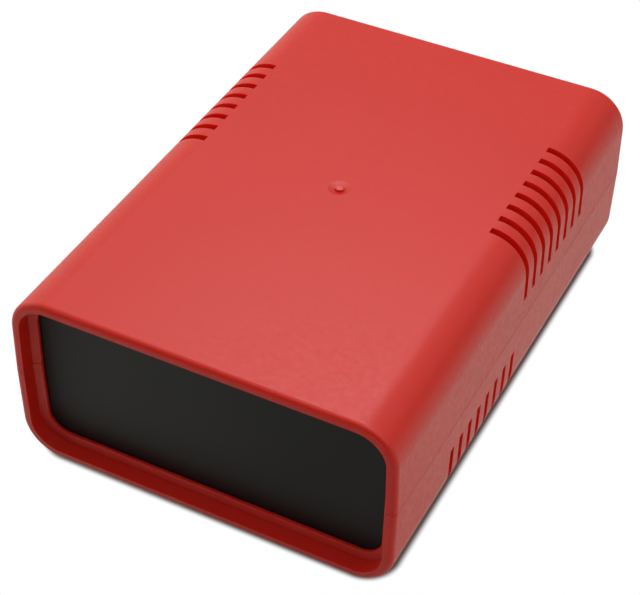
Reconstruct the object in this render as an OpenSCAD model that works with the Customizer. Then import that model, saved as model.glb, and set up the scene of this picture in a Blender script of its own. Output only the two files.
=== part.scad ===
// Enclosure box moulded as two shells, with an end panel held in grooves at the front and the rear
// and four screws put in from below. Origin at the middle of the base, X across the width, Y from
// the front panel to the rear panel, Z up, millimetres.
// A shell is drawn with the seam plane at z = 0 and its closed side up. The lower one is then
// turned over about X, which carries its vents to the other half of the box.

/* [Box] */
// Outside width, across the seam
box_w = 95.3; // [85:0.1:130]
// Outside depth, from the front rim to the rear rim
box_d = 135.7; // [126:0.1:200]
// Outside height
box_h = 47.3; // [44:0.1:70]
// Height of the seam above the base
seam_z = 24.4; // [22:0.1:26]
// Thickness of the moulded wall
wall = 2.4; // [1.8:0.1:3]
// Outer radius of the four long corners
corner_r = 9.8; // [8:0.1:12]
// Lean of the side walls away from the seam, in degrees
draft = 1.075; // [0.5:0.005:2]
// Rounding of the outer edge of both rims
rim_r = 1.4; // [0.6:0.1:1.7]
// Open line between the two rims at the seam
seam_gap = 0.15; // [0.05:0.05:0.4]

/* [End panels] */
// Thickness of a panel
panel_t = 2; // [1.5:0.1:3]
// Distance from the rim to the edge of the outer rib
panel_inset = 4.3; // [3:0.1:8]
// Thickness of the rib in front of a panel, at its edge
outer_rib_t = 0.8; // [0.6:0.1:1.5]
// How much thicker that rib is at the wall, from its sloping outer face
rib_slope = 0.7; // [0.2:0.05:1.2]
// Thickness of the rib behind a panel
inner_rib_t = 1.2; // [0.8:0.1:2]
// Height of both ribs above the inside of the wall
rib_h = 2; // [1.2:0.1:2.6]
// Clearance on each face of a panel
panel_gap = 0.15; // [0.1:0.05:0.3]
// Clearance all round the edge of a panel
panel_edge_gap = 0.2; // [0.1:0.05:0.4]

/* [Vents] */
// Number of slots over each long corner of a shell
vent_count = 8; // [4:1:8]
// Distance from slot to slot
vent_pitch = 5; // [4:0.1:5.4]
// Width of a slot
vent_w = 2; // [1:0.1:2.4]
// Distance from the middle of the box to the first slot
vent_first = 2.25; // [1.5:0.05:4]
// Distance outward from the start of the corner rounding to the end of a slot on the closed side
vent_start = -0.2; // [-1:0.1:3]
// Reach of a slot down the side wall, from the closed side
vent_drop = 16.8; // [13:0.1:18]

/* [Screws and posts] */
// Distance from the seam edge of the side wall to a screw post's axis
post_inset_x = 14.5; // [13:0.1:18]
// Distance from the rim to a screw post's axis
post_inset_y = 18; // [15:0.1:20]
// Diameter of a screw post in the upper shell
upper_post_d = 7; // [6:0.1:8]
// Diameter of a screw post in the lower shell
lower_post_d = 9; // [8.6:0.1:10]
// Bore that the screw cuts its thread in
pilot_d = 2.5; // [2.2:0.05:3]
// Clearance of the modelled screw core in that bore, on each side
core_gap = 0.05; // [0.02:0.01:0.1]
// Clearance hole in the lower post
screw_hole_d = 3.2; // [3.1:0.1:3.6]
// Length of the lower post that the screw clamps
screw_grip = 14; // [10:0.5:18]
// Length of the screw under its head
screw_len = 22; // [19:0.5:25]
// Space in the pilot bore past the screw's tip
tip_gap = 2; // [1:0.5:4]
// Diameter of the screw head
head_d = 5.6; // [5:0.1:6]
// Height of the screw head
head_h = 2.1; // [1.6:0.1:2.6]
// Clearance round the head in its counterbore
head_gap = 0.4; // [0.2:0.1:0.5]
// Width of a blade of the cross recess
recess_w = 0.8; // [0.6:0.1:1]
// Span of the cross recess
recess_span = 3; // [2.4:0.1:3.4]
// Depth of the cross recess
recess_depth = 1.3; // [0.8:0.1:1.5]
// Thickness of the web between a screw post and the side wall
web_t = 1.2; // [0.8:0.1:1.8]
// Distance from the seam to the edge of the web
web_drop = 5; // [3:0.5:9]

/* [Board posts] */
// Distance between the board posts across the box
board_x = 60; // [50:0.5:62]
// Distance between the board posts along the box
board_y = 70; // [50:0.5:74]
// Diameter of a board post
board_post_d = 6; // [5:0.1:7]
// Height of a board post above the floor
board_post_h = 6; // [4:0.5:9]
// Pilot hole in a board post
board_pilot_d = 2.4; // [2:0.1:3]
// Depth of that hole
board_pilot_depth = 6; // [4:0.5:6]

/* [Seam lip] */
// Thickness of the lip on the lower side walls
lip_t = 1; // [0.7:0.05:1.2]
// Height of the lip above the seam
lip_h = 1.5; // [0.8:0.1:2.5]
// Clearance of the lip in the upper shell
lip_gap = 0.2; // [0.1:0.05:0.3]
// Distance from the ribs behind the panels to the ends of the lip
lip_end = 3; // [1:0.5:10]

/* [Gate mark] */
// Diameter of the hollow in the middle of each closed side
gate_d = 5.6; // [4:0.1:7]
// Depth of the hollow
gate_depth = 0.4; // [0.35:0.05:0.9]
// Diameter of the pip of broken sprue that stands in it
pip_d = 2.3; // [1.6:0.1:3]
// Radius of the pip's domed top
pip_dome_r = 4.5; // [3:0.5:12]
// Height of the pip above the closed side of the upper shell
upper_pip_rise = 0.35; // [0:0.05:0.5]
// Distance of the pip under the closed side of the lower shell, which the box stands on
lower_pip_gap = 0.05; // [0:0.05:0.1]

/* [Hidden] */
$fn = 96;
shell_colour = [0.76, 0.16, 0.13];
panel_colour = [0.06, 0.06, 0.06];
screw_colour = [0.72, 0.73, 0.75];
// Overrun of cutting shapes past the face they cut
cut = 1;
upper_h = box_h - seam_z;
lower_h = seam_z;
post_x = box_w / 2 - post_inset_x;
post_y = box_d / 2 - post_inset_y;
groove_w = panel_t + 2 * panel_gap;
outer_rib_y = box_d / 2 - panel_inset - outer_rib_t / 2;
panel_y = outer_rib_y - (outer_rib_t + groove_w) / 2;
inner_rib_y = panel_y - (groove_w + inner_rib_t) / 2;
lip_x = box_w / 2 - wall;
lip_len = 2 * (inner_rib_y - inner_rib_t / 2 - lip_end);
pilot_depth = screw_len - screw_grip + tip_gap;
core_d = pilot_d - 2 * core_gap;
counterbore_d = head_d + 2 * head_gap;

// Height of a corner's axis above the seam plane, in a shell of height h
function axis_z(h) = h - corner_r;
// Distance of that axis from the middle of the box, so that the leaning side meets the seam at box_w
function axis_x(h) = box_w / 2 - corner_r / cos(draft) - axis_z(h) * tan(draft);

// Places a shape on both long sides of a shell
module both_sides() {
    children();
    mirror([1, 0, 0]) children();
}

// Places a shape at both ends of a shell
module both_ends() {
    children();
    mirror([0, 1, 0]) children();
}

// Places a shape at the corners of a rectangle of half sizes x and y
module at_corners(x, y) {
    for (side = [-1, 1], end = [-1, 1]) translate([side * x, end * y, 0]) children();
}

// Half of the box's outline at a depth under its outer surface, from y = low above the seam plane:
// the closed side and the space under it, the quarter round of the corner, and the leaning side
module half_outline(h, depth, low) {
    r = corner_r - depth;
    drop = axis_z(h) - low;
    both_sides() translate([axis_x(h), axis_z(h)]) difference() {
        union() {
            translate([-axis_x(h), -drop]) square([axis_x(h), drop + r]);
            intersection() {
                circle(r);
                square(2 * r);
            }
            rotate(draft) translate([-r, -2 * drop]) square([2 * r, 2 * drop]);
        }
        translate([-box_w, -drop - box_h]) square([2 * box_w, box_h]);
    }
}

// A strip of wall between two depths, carried round half of the box and ending at the seam
module arch(h, outer_depth, inner_depth, length) {
    rotate([90, 0, 0]) linear_extrude(length, center = true) difference() {
        half_outline(h, outer_depth, seam_gap / 2);
        half_outline(h, inner_depth, -cut);
    }
}

// Carries a section round half of the box at both ends: down the side walls, round the corners and
// over the closed side. The section has x outward from a corner's axis and y along the box.
module along_rims(h) {
    both_sides() both_ends() translate([axis_x(h), 0, axis_z(h)]) rotate([90, 0, 0]) {
        rotate(draft) rotate([90, 0, 0]) linear_extrude(h) children();
        rotate_extrude(start = draft, angle = 90 - draft) children();
        mirror([1, -1, 0]) rotate([90, 0, 0]) linear_extrude(axis_x(h)) children();
    }
}

// Section of what is taken off the outer edge of a rim
module rim_waste() {
    translate([corner_r - rim_r, box_d / 2 - rim_r]) difference() {
        square(rim_r + cut);
        circle(rim_r);
    }
}

// Section of the rib in front of a panel, thicker towards the wall and rooted half way into it
module outer_rib_section() {
    edge_r = corner_r - wall - rib_h;
    root_r = corner_r - wall / 2;
    back_y = outer_rib_y - outer_rib_t / 2;
    front_y = outer_rib_y + outer_rib_t / 2;
    root_y = front_y + rib_slope * (root_r - edge_r) / rib_h;
    polygon([[edge_r, back_y], [root_r, back_y], [root_r, root_y], [edge_r, front_y]]);
}

// Ribs in front of both panels, ending at the seam
module outer_ribs(h) {
    difference() {
        along_rims(h) outer_rib_section();
        translate([-box_w, -box_d, seam_gap / 2 - box_h]) cube([2 * box_w, 2 * box_d, box_h]);
    }
}

// Slots that wrap over both long corners in one half of a shell
module vents(h) {
    slot_x = axis_x(h) + vent_start;
    both_sides() for (i = [0 : vent_count - 1])
        translate([slot_x, vent_first + i * vent_pitch - vent_w / 2, h - vent_drop])
            cube([box_w / 2, vent_w, vent_drop + cut]);
}

// Hollow that the mould's gate leaves in the middle of the closed side
module gate_hollow(h) {
    hollow_r = (pow(gate_d / 2, 2) + pow(gate_depth, 2)) / (2 * gate_depth);
    translate([0, 0, h + hollow_r - gate_depth]) sphere(hollow_r);
}

// Pip of broken sprue in the middle of the hollow, with its top at a height over the closed side
module gate_pip(h, rise) {
    intersection() {
        translate([0, 0, h - wall / 2]) cylinder(d = pip_d, h = wall);
        translate([0, 0, h + rise - pip_dome_r]) sphere(pip_dome_r);
    }
}

// Moulded skin of a shell: wall with rounded rims, panel ribs, vents and gate mark
module skin(h, pip_rise) {
    difference() {
        arch(h, 0, wall, box_d);
        along_rims(h) rim_waste();
        vents(h);
        gate_hollow(h);
    }
    outer_ribs(h);
    both_ends() translate([0, inner_rib_y, 0]) arch(h, wall / 2, wall + rib_h, inner_rib_t);
    gate_pip(h, pip_rise);
}

// Four screw posts, each with a web to the side wall
module screw_posts(h, d) {
    at_corners(post_x, post_y) cylinder(d = d, h = h - wall / 2);
    both_sides() both_ends() translate([0, post_y, 0]) rotate([90, 0, 0])
        linear_extrude(web_t, center = true) intersection() {
            half_outline(h, wall / 2, 0);
            translate([post_x, web_drop]) square([box_w, h]);
        }
}

// Strip along the inside of both side walls at the seam, from x outward and from z = low to high
module seam_strips(x, thickness, length, low, high) {
    both_sides() translate([x, -length / 2, low]) cube([thickness, length, high - low]);
}

module upper_shell() {
    color(shell_colour) translate([0, 0, seam_z]) difference() {
        union() {
            skin(upper_h, upper_pip_rise);
            screw_posts(upper_h, upper_post_d);
        }
        at_corners(post_x, post_y) translate([0, 0, -cut]) cylinder(d = pilot_d, h = pilot_depth + cut);
        seam_strips(lip_x - cut, lip_t + lip_gap + cut, lip_len + 2 * lip_gap, -cut, lip_h + lip_gap);
    }
}

module lower_shell() {
    floor_z = lower_h - wall;
    color(shell_colour) translate([0, 0, seam_z]) rotate([180, 0, 0]) difference() {
        union() {
            skin(lower_h, -lower_pip_gap);
            screw_posts(lower_h, lower_post_d);
            at_corners(board_x / 2, board_y / 2) translate([0, 0, floor_z - board_post_h])
                cylinder(d = board_post_d, h = board_post_h + wall / 2);
            seam_strips(lip_x, lip_t, lip_len, -lip_h, wall);
        }
        at_corners(post_x, post_y) {
            translate([0, 0, -cut]) cylinder(d = screw_hole_d, h = lower_h);
            translate([0, 0, screw_grip]) cylinder(d = counterbore_d, h = lower_h);
        }
        at_corners(board_x / 2, board_y / 2) translate([0, 0, floor_z - board_post_h - cut])
            cylinder(d = board_pilot_d, h = board_pilot_depth + cut);
    }
}

// Plate that fills the box's inner outline, where the outlines of the two shells overlap
module end_panel() {
    depth = wall + panel_edge_gap;
    color(panel_colour) translate([0, 0, seam_z]) rotate([90, 0, 0])
        linear_extrude(panel_t, center = true) intersection() {
            half_outline(upper_h, depth, -lower_h);
            mirror([0, 1]) half_outline(lower_h, depth, -upper_h);
        }
}

module front_panel() {
    translate([0, -panel_y, 0]) end_panel();
}

module rear_panel() {
    translate([0, panel_y, 0]) end_panel();
}

// Pan-head screw standing on its head, with the underside of the head at z = 0
module case_screw() {
    difference() {
        union() {
            cylinder(d = core_d, h = screw_len);
            translate([0, 0, -head_h]) cylinder(d = head_d, h = head_h);
        }
        translate([0, 0, -head_h - cut]) for (turn = [0, 90]) rotate(turn)
            translate([-recess_span / 2, -recess_w / 2, 0]) cube([recess_span, recess_w, recess_depth + cut]);
    }
}

module case_screws() {
    color(screw_colour) at_corners(post_x, post_y) translate([0, 0, seam_z - screw_grip]) case_screw();
}

upper_shell();
lower_shell();
front_panel();
rear_panel();
case_screws();
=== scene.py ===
# Looks of a moulded enclosure box: red textured shells, satin black end panels and plated screws,
# standing on a white floor in soft light from above and from the sides.
import math

import bmesh
import bpy
from mathutils import Matrix, Vector


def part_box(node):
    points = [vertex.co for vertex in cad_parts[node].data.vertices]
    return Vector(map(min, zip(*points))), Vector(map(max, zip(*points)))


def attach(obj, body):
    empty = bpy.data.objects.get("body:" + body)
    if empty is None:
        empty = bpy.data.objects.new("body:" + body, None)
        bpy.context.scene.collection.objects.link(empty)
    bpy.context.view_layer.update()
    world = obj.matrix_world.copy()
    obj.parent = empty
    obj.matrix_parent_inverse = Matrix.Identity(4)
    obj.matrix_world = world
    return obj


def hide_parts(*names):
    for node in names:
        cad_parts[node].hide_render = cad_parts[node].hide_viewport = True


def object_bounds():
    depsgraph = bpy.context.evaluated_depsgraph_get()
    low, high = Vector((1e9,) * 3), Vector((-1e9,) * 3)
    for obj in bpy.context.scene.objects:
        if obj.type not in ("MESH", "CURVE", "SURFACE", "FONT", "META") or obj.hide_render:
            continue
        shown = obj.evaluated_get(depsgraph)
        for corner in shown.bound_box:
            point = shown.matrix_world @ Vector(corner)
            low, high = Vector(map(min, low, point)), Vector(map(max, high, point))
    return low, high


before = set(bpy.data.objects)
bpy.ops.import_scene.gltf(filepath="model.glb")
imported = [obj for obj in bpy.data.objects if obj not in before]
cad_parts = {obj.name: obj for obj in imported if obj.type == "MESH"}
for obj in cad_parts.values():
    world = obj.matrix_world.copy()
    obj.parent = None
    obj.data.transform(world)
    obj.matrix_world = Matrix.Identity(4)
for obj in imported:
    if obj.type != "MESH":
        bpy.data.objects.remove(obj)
cad_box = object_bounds()

MM = 0.001
NEAR = 0.001 * MM

# Camera: the point it looks at, where it stands and its lens, fitted to the photograph
LOOK_AT = Vector((1.59, -12.58, 23.55)) * MM
AZIMUTH = math.radians(26.57)
ELEVATION = math.radians(41.24)
DISTANCE = 415.25 * MM
ROLL = math.radians(0.936)
LENS = 98.015
SENSOR = 36.0

# Light: where the soft round lamps stand and their watts, and the glows in the surroundings, each with
# the direction that it lies in, its strength and how sharply it fades. The lamps are a little cool. The
# surroundings are a little warm, but white in the picture.
LAMPS = (
    (Vector((-80, 180, 470)) * MM, 1.0),
    (Vector((120, -130, 300)) * MM, 0.19),
    (Vector((0, -110, 470)) * MM, 0.25),
)
LAMP_SIZE = 0.3
GLOWS = (
    (Vector((0.97, 0.0, 0.26)), 0.58, 6.0),
    (Vector((-0.97, 0.0, 0.26)), 1.8, 6.0),
    (Vector((0.45, 0.50, 0.74)), 0.92, 6.0),
    (Vector((-0.66, 0.67, 0.33)), 0.64, 10.0),
)
COOL = (0.94, 0.95, 1.0)
WARM = (1.0, 0.98, 0.89, 1.0)
WHITE = (1.0, 1.0, 1.0, 1.0)

# Floor: its size, its grey, and how it looks in what mirrors it, first in the painted shade in front of
# the box and then elsewhere. That painted shade thins out between two distances from its middle.
FLOOR_SIZE = 6.0
FLOOR_GREY = (0.66, 0.66, 0.66, 1.0)
FLOOR_MIRRORED = ((0.54, 0.529, 0.481, 1.0), (0.85, 0.833, 0.757, 1.0))
PAINTED_SHADE_AT = Vector((40, -100, 0)) * MM
PAINTED_SHADE_R = (10 * MM, 100 * MM)

# Shadow on the floor, partly painted: the dark grey painted near the box under its real shading, how far
# inside the box's sides and ends its edge runs, the radius of its corners, and the two distances outside
# that edge between which it fades
PAINTED_SHADOW_GREY = (0.25, 0.25, 0.25, 1.0)
SIDE_INSET = 2.9 * MM
END_INSET = 1.3 * MM
SHADOW_CORNER = 7.0 * MM
SHADOW_FADE = (0.3 * MM, 2.1 * MM)

# Red shells: the two reds that drift over them in wide patches, the mottle and the fine texture, how
# rough they are, and how light scatters under the surface
RED = ((0.60, 0.0130, 0.0050, 1.0), (0.64, 0.0160, 0.0062, 1.0))
RED_PATCH = 45 * MM
RED_ROUGHNESS = (0.40, 0.46)
MOTTLE_GRAIN = 1.2 * MM
MOTTLE_HEIGHT = 1.3
MOTTLE_ROUGHNESS = (-0.12, 0.12)
TEXTURE_GRAIN = 0.45 * MM
TEXTURE_DETAIL = 3.0
TEXTURE_DEPTH = 0.013 * MM
PLASTIC_IOR = 1.5
SCATTER_RADIUS = (1.0, 0.12, 0.06)
SCATTER_DEPTH = 2.0 * MM

# Slots: the painted light on their cut faces, a brighter red that stands in for light scattered in the
# slots, and
# where those faces lie: how far their normals lean along the box, how far from its middle they begin
# across it, and how far from its middle they have ended along it
SLOT_PAINTED_LIGHT_RED = (0.76, 0.014, 0.006, 1.0)
SLOT_LEAN = (0.6, 0.9)
SLOT_X = (36 * MM, 37 * MM)
SLOT_Y = (40 * MM, 44 * MM)

# Gate pips: the paler red on them, and the two distances from the middle of a closed side between which it
# fades
PIP_PALE_RED = (0.68, 0.085, 0.070, 1.0)
PIP_PALE_R = (0.5 * MM, 1.05 * MM)

# Black panels: the two blacks that drift over them in patches, and the fine satin face
BLACK = ((0.00304, 0.00368, 0.00402, 1.0), (0.00478, 0.00561, 0.00605, 1.0))
BLACK_PATCH = 30 * MM
SATIN_ROUGHNESS = (0.40, 0.48)
SATIN_GRAIN = 0.3 * MM
SATIN_DEPTH = 0.006 * MM
SATIN_GLOSS = 0.2

# Zinc on the screws: from a cool grey to a faint yellow cast in patches, with fine marks
ZINC = ((0.468, 0.479, 0.503, 1.0), (0.578, 0.552, 0.468, 1.0))
ZINC_PATCH = 1.5 * MM
ZINC_ROUGHNESS = (0.26, 0.40)
ZINC_GRAIN = 0.12 * MM
ZINC_DEPTH = 0.004 * MM

# Screws: sizes of the head, of its cross recess, of the core with its thread and of the point, and how
# far each screw was turned when it was driven in
HEAD_R = 2.8 * MM
HEAD_H = 2.1 * MM
HEAD_DOME = 0.85 * MM
DOME_STEPS = 6
HEAD_RIM = 0.15 * MM
RIM_STEPS = 2
FLAT_R = 1.8 * MM
RECESS_W = 0.8 * MM
RECESS_SPAN = 3.0 * MM
RECESS_DEPTH = 1.3 * MM
RECESS_TAPER = 0.55
CORE_R = 0.92 * MM
THREAD_ROOT_R = 0.9 * CORE_R
THREAD_R = 1.2 * MM
THREAD_W = 0.6 * MM
THREAD_PITCH = 1.1 * MM
THREAD_STEPS = 18
POINT_R = 0.3 * MM
POINT_H = 1.4 * MM
SCREW_SIDES = 32
SCREW_TURNS = (14, 52, 78, 33)
SHARP = math.radians(35)


class Socket:
    """A shader socket that arithmetic works on: each operator adds a Math node."""

    def __init__(self, tree, socket):
        self.tree = tree
        self.socket = socket

    def math(self, operation, first, second):
        return self.tree.node("ShaderNodeMath", {"operation": operation}, {0: first, 1: second})

    def __add__(self, other):
        return self.math("ADD", self, other)

    def __sub__(self, other):
        return self.math("SUBTRACT", self, other)

    def __rsub__(self, other):
        return self.math("SUBTRACT", other, self)

    def __mul__(self, other):
        return self.math("MULTIPLY", self, other)

    def __abs__(self):
        return self.math("ABSOLUTE", self, 0.0)

    def exp(self):
        return self.math("EXPONENT", self, 0.0)

    __radd__ = __add__
    __rmul__ = __mul__


class Tree:
    """The nodes of one material or of the world."""

    def __init__(self, owner):
        owner.use_nodes = True
        self.tree = owner.node_tree
        self.tree.nodes.clear()

    def node(self, kind, settings, sockets, output=0):
        """Adds a node with its settings and the values or links of its sockets, and gives one output."""
        node = self.tree.nodes.new(kind)
        for name, value in settings.items():
            setattr(node, name, value)
        for name, value in sockets.items():
            if isinstance(value, Socket):
                self.tree.links.new(value.socket, node.inputs[name])
            else:
                node.inputs[name].default_value = value
        return Socket(self, node.outputs[output]) if len(node.outputs) else None

    def place(self):
        """Where a point lies on its piece, in metres."""
        return self.node("ShaderNodeTexCoord", {}, {}, "Object")

    def along(self, axis, kind="Object"):
        """How far a point lies from its piece's origin along an axis, or its normal leans that way."""
        way = self.node("ShaderNodeTexCoord", {}, {}, kind)
        return abs(self.node("ShaderNodeSeparateXYZ", {}, {"Vector": way}, axis))

    def vector(self, operation, first, second=Vector((0, 0, 0)), output="Vector"):
        """A vector worked out from one or two vectors, or a number where the output is Value."""
        return self.node("ShaderNodeVectorMath", {"operation": operation}, {0: first, 1: second}, output)

    def ray(self, kind):
        """1 for light that travels as a ray of one kind, 0 for other light."""
        return self.node("ShaderNodeLightPath", {}, {}, f"Is {kind} Ray")

    def ramp(self, value, start, end):
        """Rises smoothly from 0 at a start value to 1 at an end value."""
        sockets = {"Value": value, "From Min": start, "From Max": end}
        return self.node("ShaderNodeMapRange", {"interpolation_type": "SMOOTHSTEP"}, sockets)

    def noise(self, grain, detail=2.0):
        """Noise from 0 to 1 whose patches are about grain wide."""
        sockets = {"Vector": self.place(), "Scale": 1 / grain, "Detail": detail}
        return self.node("ShaderNodeTexNoise", {}, sockets)

    def spread(self, value, low, high):
        """Carries a value from 0 to 1 over to the range from low to high."""
        return value * (high - low) + low

    def shades(self, factor, first, second):
        """A colour between two, by a factor."""
        sockets = {"Factor": factor, "A": first, "B": second}
        return self.node("ShaderNodeMix", {"data_type": "RGBA"}, sockets, "Result")

    def bump(self, height, depth):
        """Normals of a surface whose height, from 0 to 1, stands for a depth in metres."""
        return self.node("ShaderNodeBump", {}, {"Height": height, "Distance": depth, "Strength": 1.0})

    def finish(self, sockets):
        """Ends a material at a surface with these sockets."""
        surface = self.node("ShaderNodeBsdfPrincipled", {}, sockets)
        self.node("ShaderNodeOutputMaterial", {}, {"Surface": surface})


def new_finish(name):
    """A new material, and its nodes."""
    material = bpy.data.materials.new(name)
    return material, Tree(material)


def slot_faces(tree):
    """1 on the cut faces in the vent slots, where light is painted, and 0 elsewhere."""
    leaning = tree.ramp(tree.along("Y", "Normal"), *SLOT_LEAN)
    outside = tree.ramp(tree.along("X"), *SLOT_X)
    return leaning * outside * (1 - tree.ramp(tree.along("Y"), *SLOT_Y))


def pale_pips(tree):
    """1 on the pips in the middle of the closed sides, and 0 elsewhere."""
    low, high = (Vector(corner) for corner in cad_box)
    from_middle = tree.vector("ABSOLUTE", tree.vector("SUBTRACT", tree.place(), (low + high) / 2))
    pip = Vector((0, 0, (high.z - low.z) / 2))
    return 1 - tree.ramp(tree.vector("DISTANCE", from_middle, pip, "Value"), *PIP_PALE_R)


def moulded_red():
    """Red ABS with the mould's fine texture, with painted light on the slots' cut faces and paler on the
    gate pips.
    """
    material, tree = new_finish("moulded_red")
    drift = tree.noise(RED_PATCH)
    mottle = tree.noise(MOTTLE_GRAIN)
    relief = tree.noise(TEXTURE_GRAIN, TEXTURE_DETAIL) + mottle * MOTTLE_HEIGHT
    colour = tree.shades(drift, *RED)
    # Painted light: a brighter red on the slots' cut faces, for light scattered in them.
    colour = tree.shades(slot_faces(tree), colour, SLOT_PAINTED_LIGHT_RED)
    colour = tree.shades(pale_pips(tree), colour, PIP_PALE_RED)
    tree.finish({
        "Base Color": colour,
        "Roughness": tree.spread(drift, *RED_ROUGHNESS) + tree.spread(mottle, *MOTTLE_ROUGHNESS),
        "Normal": tree.bump(relief, TEXTURE_DEPTH),
        "IOR": PLASTIC_IOR,
        "Subsurface Weight": 1.0,
        "Subsurface Radius": SCATTER_RADIUS,
        "Subsurface Scale": SCATTER_DEPTH,
    })
    return material


def satin_black():
    """Black plate with a fine satin face."""
    material, tree = new_finish("satin_black")
    drift = tree.noise(BLACK_PATCH)
    tree.finish({
        "Base Color": tree.shades(drift, *BLACK),
        "Roughness": tree.spread(drift, *SATIN_ROUGHNESS),
        "Normal": tree.bump(tree.noise(SATIN_GRAIN), SATIN_DEPTH),
        "Specular IOR Level": SATIN_GLOSS,
    })
    return material


def zinc_plate():
    """Bright zinc plating with fine marks and a faint yellow cast in patches."""
    material, tree = new_finish("zinc_plate")
    patches = tree.noise(ZINC_PATCH)
    tree.finish({
        "Base Color": tree.shades(patches, *ZINC),
        "Roughness": tree.spread(patches, *ZINC_ROUGHNESS),
        "Normal": tree.bump(tree.noise(ZINC_GRAIN), ZINC_DEPTH),
        "Metallic": 1.0,
    })
    return material


def white_floor():
    """Floor white in the picture, with a partly painted shadow near the box and painted shade in what it
    mirrors.
    """
    material, tree = new_finish("white_floor")
    seen = tree.ray("Camera")
    mirrored = tree.ray("Glossy") + tree.ray("Transmission")
    inset = Vector((SIDE_INSET + SHADOW_CORNER, END_INSET + SHADOW_CORNER, 0))
    away = tree.vector("SUBTRACT", tree.vector("ABSOLUTE", tree.place()), Vector(cad_box[1]) - inset)
    away = tree.vector("LENGTH", tree.vector("MAXIMUM", away), output="Value") - SHADOW_CORNER
    clear = tree.ramp(away, *SHADOW_FADE)
    # Painted shade: what mirrors the floor shows it darker in front of the box.
    from_painted_shade = tree.vector("DISTANCE", tree.place(), PAINTED_SHADE_AT, "Value")
    reflection = tree.shades(tree.ramp(from_painted_shade, *PAINTED_SHADE_R), *FLOOR_MIRRORED)
    # Painted shadow: where the camera sees it near the box, the floor is dark grey under its real shading.
    lit = tree.node("ShaderNodeBsdfDiffuse", {}, {"Color": tree.shades(seen, FLOOR_GREY, PAINTED_SHADOW_GREY)})
    white = tree.node("ShaderNodeEmission", {}, {"Color": tree.shades(seen, reflection, WHITE)})
    sockets = {"Fac": mirrored + seen * clear, 1: lit, 2: white}
    surface = tree.node("ShaderNodeMixShader", {}, sockets)
    tree.node("ShaderNodeOutputMaterial", {}, {"Surface": surface})
    return material


def dress(name, material):
    """Gives a solid of the box its finish."""
    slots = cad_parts[name].data.materials
    slots.clear()
    slots.append(material)


def new_piece(name, work, material):
    """Makes an object of a bmesh, and frees the bmesh."""
    mesh = bpy.data.meshes.new(name)
    work.to_mesh(mesh)
    work.free()
    mesh.materials.append(material)
    piece = bpy.data.objects.new(name, mesh)
    bpy.context.collection.objects.link(piece)
    return piece


def make_camera():
    data = bpy.data.cameras.new("camera")
    data.lens = LENS
    data.sensor_width = SENSOR
    data.sensor_fit = "HORIZONTAL"
    back = Vector((
        math.sin(AZIMUTH) * math.cos(ELEVATION),
        -math.cos(AZIMUTH) * math.cos(ELEVATION),
        math.sin(ELEVATION),
    ))
    aim = (-back).to_track_quat("-Z", "Y").to_matrix().to_4x4()
    roll = Matrix.Rotation(ROLL, 4, "Z")
    camera = bpy.data.objects.new("camera", data)
    camera.matrix_world = Matrix.Translation(LOOK_AT + DISTANCE * back) @ aim @ roll
    bpy.context.collection.objects.link(camera)
    bpy.context.scene.camera = camera


def make_world():
    """Surroundings with soft bright areas, white in the picture."""
    world = bpy.data.worlds.new("studio")
    bpy.context.scene.world = world
    tree = Tree(world)
    way = tree.node("ShaderNodeTexCoord", {}, {}, "Generated")
    glow = 0.0
    for middle, strength, sharpness in GLOWS:
        facing = tree.vector("DOT_PRODUCT", way, middle, "Value")
        glow = glow + strength * ((facing - 1) * sharpness).exp()
    seen = tree.ray("Camera")
    sockets = {"Color": tree.shades(seen, WARM, WHITE), "Strength": seen + (1 - seen) * glow}
    sky = tree.node("ShaderNodeBackground", {}, sockets)
    tree.node("ShaderNodeOutputWorld", {}, {"Surface": sky})


def make_lamps():
    for place, watts in LAMPS:
        data = bpy.data.lights.new("lamp", "AREA")
        data.shape = "DISK"
        data.size = LAMP_SIZE
        data.energy = watts
        data.color = COOL
        lamp = bpy.data.objects.new("lamp", data)
        lamp.location = place
        lamp.rotation_euler = (LOOK_AT - place).to_track_quat("-Z", "Y").to_euler()
        bpy.context.collection.objects.link(lamp)


def make_floor():
    work = bmesh.new()
    bmesh.ops.create_grid(work, x_segments=1, y_segments=1, size=FLOOR_SIZE / 2)
    new_piece("floor", work, white_floor())


def of_kind(geometry, kind):
    """The vertices, edges or faces among the results of an operator."""
    return [item for item in geometry if isinstance(item, kind)]


def ring(work, radius, height):
    """Edges that lie on a level circle round the Z axis."""
    def lies_on(vertex):
        return abs(vertex.co.xy.length - radius) < NEAR and abs(vertex.co.z - height) < NEAR
    return [edge for edge in work.edges if all(lies_on(vertex) for vertex in edge.verts)]


def round_off(work, edges, width, segments):
    bmesh.ops.bevel(work, geom=edges, offset=width, offset_type="OFFSET", affect="EDGES",
                    segments=segments, profile=0.5, material=-1, clamp_overlap=True)


def turn_body(work, length):
    """Head, core and point of a screw, with its head's face at z = 0 and open for the recess."""
    outline = (
        (FLAT_R, 0), (HEAD_R, 0), (HEAD_R, HEAD_H), (CORE_R, HEAD_H),
        (CORE_R, length - POINT_H), (POINT_R, length), (0, length),
    )
    corners = [work.verts.new((radius, 0, height)) for radius, height in outline]
    sides = [work.edges.new(pair) for pair in zip(corners, corners[1:])]
    bmesh.ops.spin(work, geom=corners + sides, axis=(0, 0, 1), angle=math.tau,
                   steps=SCREW_SIDES, use_merge=True)
    bmesh.ops.remove_doubles(work, verts=work.verts, dist=NEAR)
    round_off(work, ring(work, HEAD_R, 0), HEAD_DOME, DOME_STEPS)
    round_off(work, ring(work, HEAD_R, HEAD_H), HEAD_RIM, RIM_STEPS)


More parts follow.
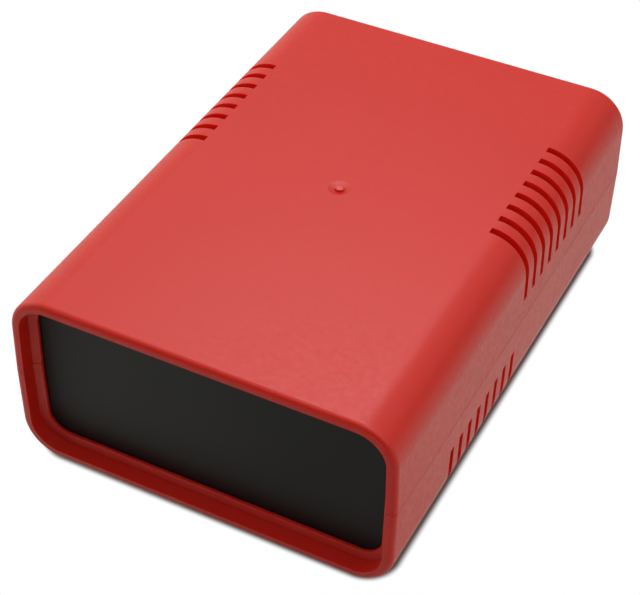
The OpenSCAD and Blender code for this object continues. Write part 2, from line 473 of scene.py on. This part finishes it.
def sink_recess(work):
    """Cross recess in the face of a screw's head: a square with four arms, pushed in and narrowed."""
    grid = bmesh.ops.create_grid(work, x_segments=1, y_segments=1, size=RECESS_W / 2)
    square = grid["verts"][0].link_faces[0]
    cross = [square]
    for edge in list(square.edges):
        outward = (edge.verts[0].co + edge.verts[1].co).normalized()
        arm = bmesh.ops.extrude_edge_only(work, edges=[edge])["geom"]
        tips = of_kind(arm, bmesh.types.BMVert)
        bmesh.ops.translate(work, verts=tips, vec=outward * (RECESS_SPAN - RECESS_W) / 2)
        cross += of_kind(arm, bmesh.types.BMFace)
    rim = [edge for face in cross for edge in face.edges if len(edge.link_faces) == 1]
    bottom = of_kind(bmesh.ops.extrude_face_region(work, geom=cross)["geom"], bmesh.types.BMVert)
    bmesh.ops.delete(work, geom=cross, context="FACES")
    bmesh.ops.scale(work, verts=bottom, vec=(RECESS_TAPER, RECESS_TAPER, 1))
    bmesh.ops.translate(work, verts=bottom, vec=(0, 0, RECESS_DEPTH))
    bmesh.ops.bridge_loops(work, edges=rim + ring(work, FLAT_R, 0))


def wind_thread(work, start, end):
    """Thread of a screw: a three-sided ridge wound round the core."""
    section = ((THREAD_ROOT_R, 0), (THREAD_ROOT_R, THREAD_W), (THREAD_R, THREAD_W / 2))
    face = work.faces.new([work.verts.new((radius, 0, start + height)) for radius, height in section])
    turns = (end - start) / THREAD_PITCH
    steps = round(turns * THREAD_STEPS)
    bmesh.ops.spin(work, geom=[*face.verts, *face.edges, face], axis=(0, 0, 1), angle=turns * math.tau,
                   dvec=(0, 0, (end - start) / steps), steps=steps)


def make_screws():
    """Four pan-head screws in the places of the solids that they stand for."""
    low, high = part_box("case_screws")
    length = high[2] - low[2]
    work = bmesh.new()
    turn_body(work, length)
    sink_recess(work)
    wind_thread(work, HEAD_H + THREAD_PITCH, length - POINT_H)
    bmesh.ops.recalc_face_normals(work, faces=work.faces)
    pattern = [*work.verts, *work.edges, *work.faces]
    places = [Vector((x, y, low[2])) for x in (low[0] + HEAD_R, high[0] - HEAD_R)
              for y in (low[1] + HEAD_R, high[1] - HEAD_R)]
    for place, turn in zip(places, SCREW_TURNS):
        copy = of_kind(bmesh.ops.duplicate(work, geom=pattern)["geom"], bmesh.types.BMVert)
        bmesh.ops.rotate(work, verts=copy, matrix=Matrix.Rotation(math.radians(turn), 3, "Z"))
        bmesh.ops.translate(work, verts=copy, vec=place)
    bmesh.ops.delete(work, geom=of_kind(pattern, bmesh.types.BMVert), context="VERTS")
    for face in work.faces:
        face.smooth = True
    for edge in work.edges:
        edge.smooth = edge.calc_face_angle(0) < SHARP
    screws = new_piece("plated_screws", work, zinc_plate())
    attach(screws, "base")
    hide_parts("case_screws")


make_camera()
make_world()
make_lamps()
make_floor()

red = moulded_red()
black = satin_black()
dress("upper_shell", red)
dress("lower_shell", red)
dress("front_panel", black)
dress("rear_panel", black)
make_screws()

bpy.context.scene.view_settings.view_transform = "Standard"
